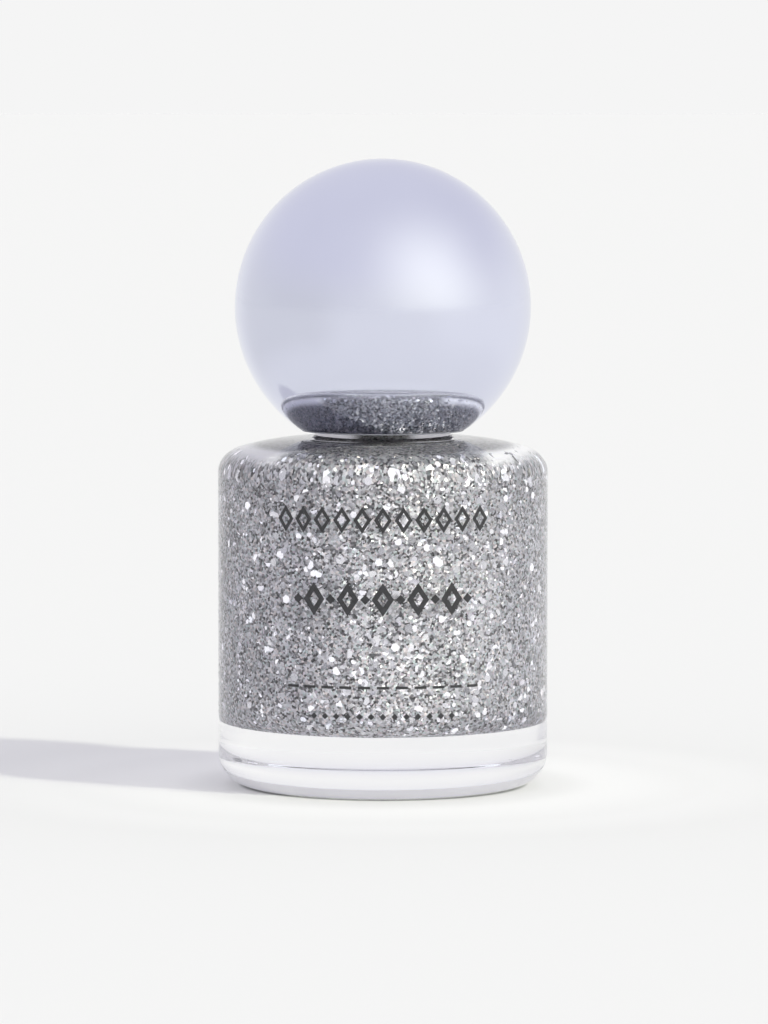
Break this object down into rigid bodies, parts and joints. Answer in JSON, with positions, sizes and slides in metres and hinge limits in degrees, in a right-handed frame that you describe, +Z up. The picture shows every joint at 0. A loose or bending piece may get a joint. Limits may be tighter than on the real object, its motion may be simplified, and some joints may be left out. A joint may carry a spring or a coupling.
{
  "type": "nail polish bottle",
  "caption": "Round thick-based glass bottle of glitter nail lacquer with a screw-on hollow ball cap that carries the brush.",
  "frame": {"origin": "centre of the bottle's base, on the surface it stands on", "axes": "+Z up along the bottle's axis; -Y is the printed front"},
  "size_m": [0.0302, 0.0303, 0.0573],
  "materials": {
    "clear_glass": "polished clear glass",
    "glitter_lacquer": "silver glitter in clear lacquer",
    "dark_ink": "screen-printed ink",
    "pearl_shell": "lavender metallic coating",
    "white_plastic": "natural polypropylene",
    "liner_foam": "soft polyethylene",
    "stem_plastic": "moulded polyethylene",
    "filament": "nylon filaments",
    "staple_metal": "drawn wire",
    "ball_steel": "polished steel"
  },
  "bodies": {
    "bottle": {"glass_bottle": "clear_glass", "lacquer": "glitter_lacquer", "printed_marks": "dark_ink"},
    "mixing_balls": {"mixing_balls": "ball_steel"},
    "liner": {"seal_liner": "liner_foam"},
    "brush": {"brush_rod": "stem_plastic", "brush_tuft": "filament", "brush_staple": "staple_metal"},
    "cap": {"upper_shell": "pearl_shell", "lower_shell": "pearl_shell", "inner_cap": "white_plastic"}
  },
  "joints": [
    {"name": "cap_pull_off", "type": "slide", "parent": "bottle", "child": "liner", "axis": [0, 0, 1], "range_m": [0, 0.042], "deforming": ["lacquer"]},
    {"name": "thread_rise", "type": "slide", "parent": "liner", "child": "brush", "axis": [0, 0, 1], "range_m": [0, 0.0038]},
    {"name": "cap_turn", "type": "hinge", "parent": "brush", "child": "cap", "pos_m": [0, 0, 0.0438], "axis": [0, 0, 1], "range_deg": [0, 630]},
    {"name": "balls_swirl", "type": "hinge", "parent": "bottle", "child": "mixing_balls", "pos_m": [0, 0, 0.00782], "axis": [0, 0, 1], "continuous": true}
  ],
  "couplings": [
    {"joint": "thread_rise", "follows": "cap_turn", "m_per_rad": 0.00033693}
  ]
}
